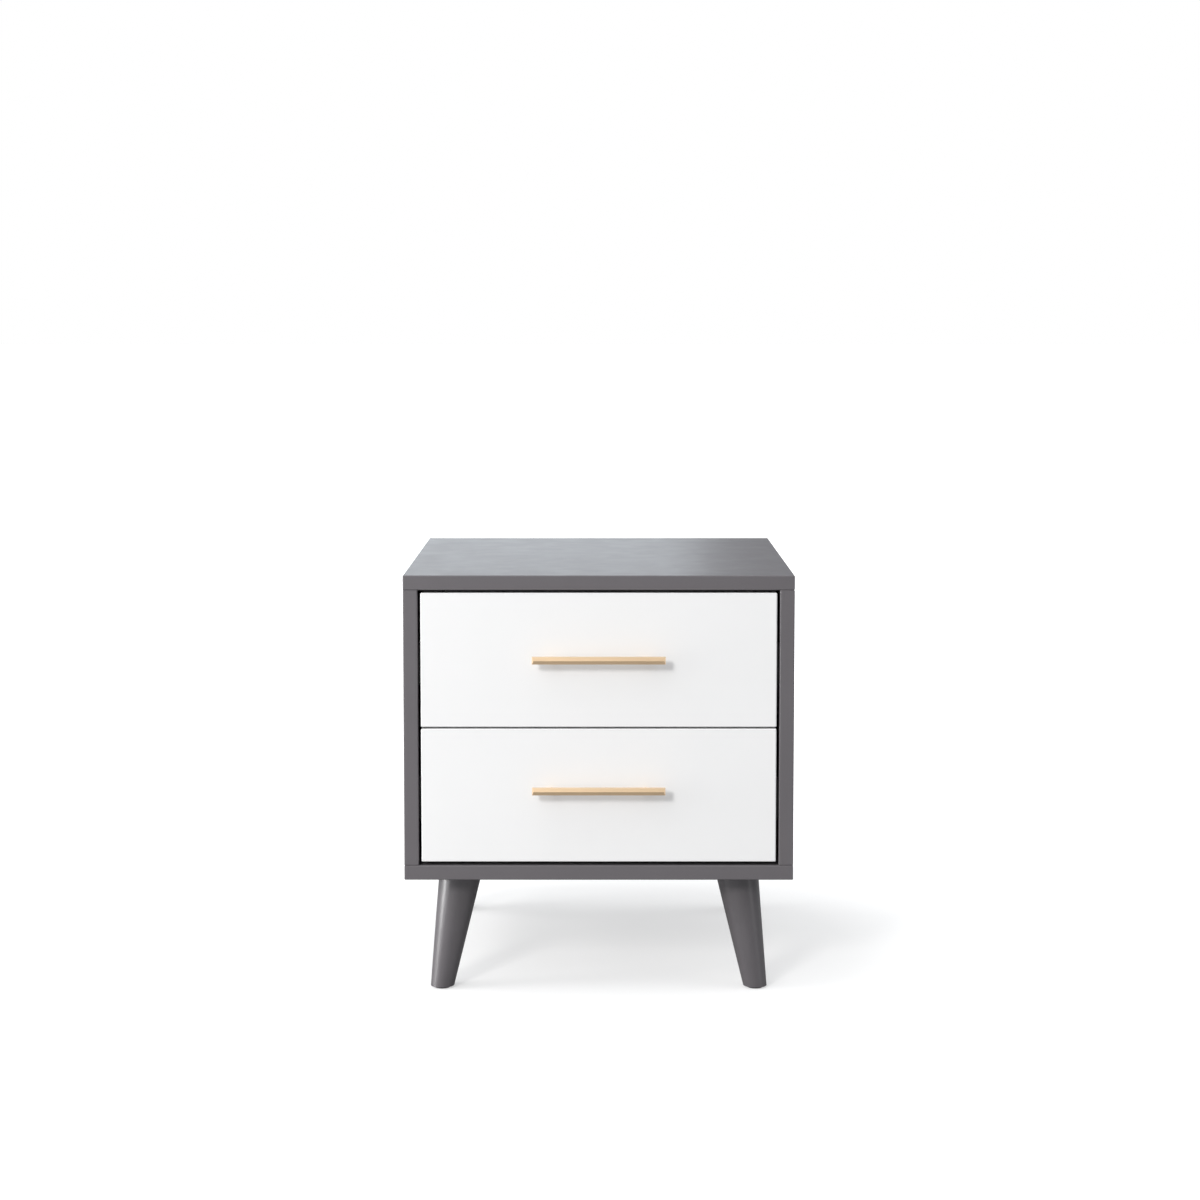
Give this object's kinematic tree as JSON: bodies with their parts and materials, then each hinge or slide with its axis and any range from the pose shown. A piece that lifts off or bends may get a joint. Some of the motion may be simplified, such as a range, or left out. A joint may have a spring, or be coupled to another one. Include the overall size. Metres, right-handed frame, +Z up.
{
  "type": "nightstand with drawers",
  "caption": "Low nightstand with flush drawers behind bar handles, in a square-edged cabinet on splayed, tapered round legs.",
  "frame": {"origin": "on the floor, at the centre of the footprint that the cabinet and its handles take together", "axes": "+Z up, drawers open towards -Y, +X to the right of someone facing the fronts"},
  "size_m": [0.4, 0.42, 0.437],
  "materials": {
    "grey_board": "satin warm grey melamine board with matching edge banding",
    "white_board": "smooth white lacquered board with a slight gloss",
    "box_board": "matte white melamine board with edge banding",
    "bottom_board": "thin white-faced fibreboard",
    "back_board": "thin grey-faced fibreboard",
    "leg_wood": "turned beech with dark grey satin paint",
    "dowel_wood": "fluted raw beech",
    "handle_gold": "brushed pale gold",
    "slide_steel": "rolled steel with a thin black electrophoretic coat",
    "cage_steel": "pressed steel cages and polished balls, lightly greased",
    "plate_steel": "black powder coated steel plate",
    "screw_steel": "bright zinc plated steel",
    "cam_metal": "die cast zinc, nickel plated",
    "glide_plastic": "dark nylon"
  },
  "bodies": {
    "cabinet": {"top_panel": "grey_board", "bottom_panel": "grey_board", "left_side_panel": "grey_board", "right_side_panel": "grey_board", "back_panel": "back_board", "cabinet_cam_locks": "cam_metal", "cabinet_cam_bolts": "screw_steel", "cabinet_dowels": "dowel_wood", "front_left_leg": "leg_wood", "front_right_leg": "leg_wood", "rear_left_leg": "leg_wood", "rear_right_leg": "leg_wood", "front_left_leg_plate": "plate_steel", "front_right_leg_plate": "plate_steel", "rear_left_leg_plate": "plate_steel", "rear_right_leg_plate": "plate_steel", "leg_hanger_bolts": "screw_steel", "leg_plate_screws": "screw_steel", "foot_glides": "glide_plastic", "upper_left_slide_rail": "slide_steel", "upper_right_slide_rail": "slide_steel", "lower_left_slide_rail": "slide_steel", "lower_right_slide_rail": "slide_steel", "slide_rail_screws": "screw_steel"},
    "upper_middle_rails": {"upper_left_slide_middle": "slide_steel", "upper_right_slide_middle": "slide_steel"},
    "lower_middle_rails": {"lower_left_slide_middle": "slide_steel", "lower_right_slide_middle": "slide_steel"},
    "upper_outer_cages": {"upper_outer_ball_cages": "cage_steel"},
    "lower_outer_cages": {"lower_outer_ball_cages": "cage_steel"},
    "upper_inner_cages": {"upper_inner_ball_cages": "cage_steel"},
    "lower_inner_cages": {"lower_inner_ball_cages": "cage_steel"},
    "upper_drawer": {"upper_left_slide_runner": "slide_steel", "upper_right_slide_runner": "slide_steel", "upper_drawer_front": "white_board", "upper_drawer_left_side": "box_board", "upper_drawer_right_side": "box_board", "upper_drawer_back": "box_board", "upper_drawer_bottom": "bottom_board", "upper_drawer_cam_locks": "cam_metal", "upper_drawer_cam_bolts": "screw_steel", "upper_drawer_back_screws": "screw_steel", "upper_runner_screws": "screw_steel", "upper_handle_bar": "handle_gold", "upper_handle_posts": "handle_gold", "upper_handle_screws": "screw_steel"},
    "lower_drawer": {"lower_left_slide_runner": "slide_steel", "lower_right_slide_runner": "slide_steel", "lower_drawer_front": "white_board", "lower_drawer_left_side": "box_board", "lower_drawer_right_side": "box_board", "lower_drawer_back": "box_board", "lower_drawer_bottom": "bottom_board", "lower_drawer_cam_locks": "cam_metal", "lower_drawer_cam_bolts": "screw_steel", "lower_drawer_back_screws": "screw_steel", "lower_runner_screws": "screw_steel", "lower_handle_bar": "handle_gold", "lower_handle_posts": "handle_gold", "lower_handle_screws": "screw_steel"}
  },
  "joints": [
    {"name": "upper_drawer_slide", "type": "slide", "parent": "cabinet", "child": "upper_drawer", "axis": [0, -1, 0], "range_m": [0, 0.33]},
    {"name": "upper_middle_rails_slide", "type": "slide", "parent": "cabinet", "child": "upper_middle_rails", "axis": [0, -1, 0], "range_m": [0, 0.165]},
    {"name": "upper_outer_cages_slide", "type": "slide", "parent": "cabinet", "child": "upper_outer_cages", "axis": [0, -1, 0], "range_m": [0, 0.0825]},
    {"name": "upper_inner_cages_slide", "type": "slide", "parent": "cabinet", "child": "upper_inner_cages", "axis": [0, -1, 0], "range_m": [0, 0.2475]},
    {"name": "lower_drawer_slide", "type": "slide", "parent": "cabinet", "child": "lower_drawer", "axis": [0, -1, 0], "range_m": [0, 0.33]},
    {"name": "lower_middle_rails_slide", "type": "slide", "parent": "cabinet", "child": "lower_middle_rails", "axis": [0, -1, 0], "range_m": [0, 0.165]},
    {"name": "lower_outer_cages_slide", "type": "slide", "parent": "cabinet", "child": "lower_outer_cages", "axis": [0, -1, 0], "range_m": [0, 0.0825]},
    {"name": "lower_inner_cages_slide", "type": "slide", "parent": "cabinet", "child": "lower_inner_cages", "axis": [0, -1, 0], "range_m": [0, 0.2475]}
  ],
  "couplings": [
    {"joint": "upper_middle_rails_slide", "follows": "upper_drawer_slide", "ratio": 0.5},
    {"joint": "upper_outer_cages_slide", "follows": "upper_drawer_slide", "ratio": 0.25},
    {"joint": "upper_inner_cages_slide", "follows": "upper_drawer_slide", "ratio": 0.75},
    {"joint": "lower_middle_rails_slide", "follows": "lower_drawer_slide", "ratio": 0.5},
    {"joint": "lower_outer_cages_slide", "follows": "lower_drawer_slide", "ratio": 0.25},
    {"joint": "lower_inner_cages_slide", "follows": "lower_drawer_slide", "ratio": 0.75}
  ]
}
